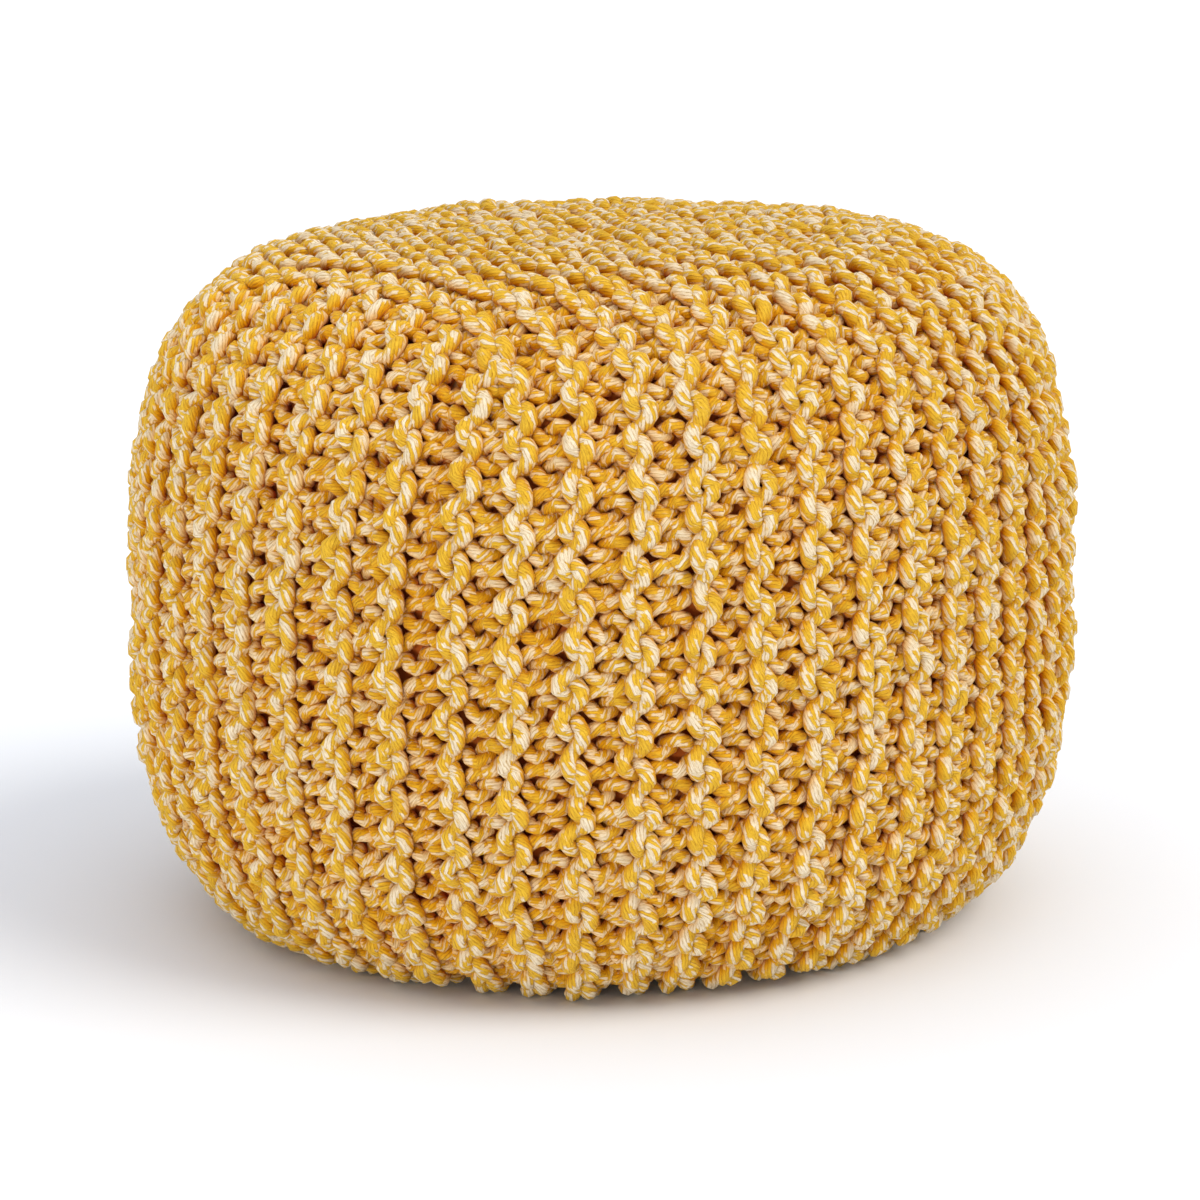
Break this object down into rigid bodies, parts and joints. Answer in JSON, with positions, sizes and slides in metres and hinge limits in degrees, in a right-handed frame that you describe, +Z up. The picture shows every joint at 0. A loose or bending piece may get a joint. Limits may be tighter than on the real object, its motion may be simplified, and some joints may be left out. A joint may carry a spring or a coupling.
{
  "type": "knitted pouf",
  "caption": "Round filled floor pouf in a chunky garter-stitch knit cover, with ridges that run side by side over the crown and down to the flat base.",
  "frame": {"origin": "middle of the flat base, on the floor", "axes": "+Z up along the pouf's axis; -Y is the side the picture shows; +X to the right of that view"},
  "size_m": [0.5002, 0.4998, 0.36],
  "materials": {
    "marled_yarn": "matte twisted cotton cord, mustard plies with cream streaks"
  },
  "bodies": {
    "root": {"knitted_pouf": "marled_yarn"}
  },
  "joints": []
}
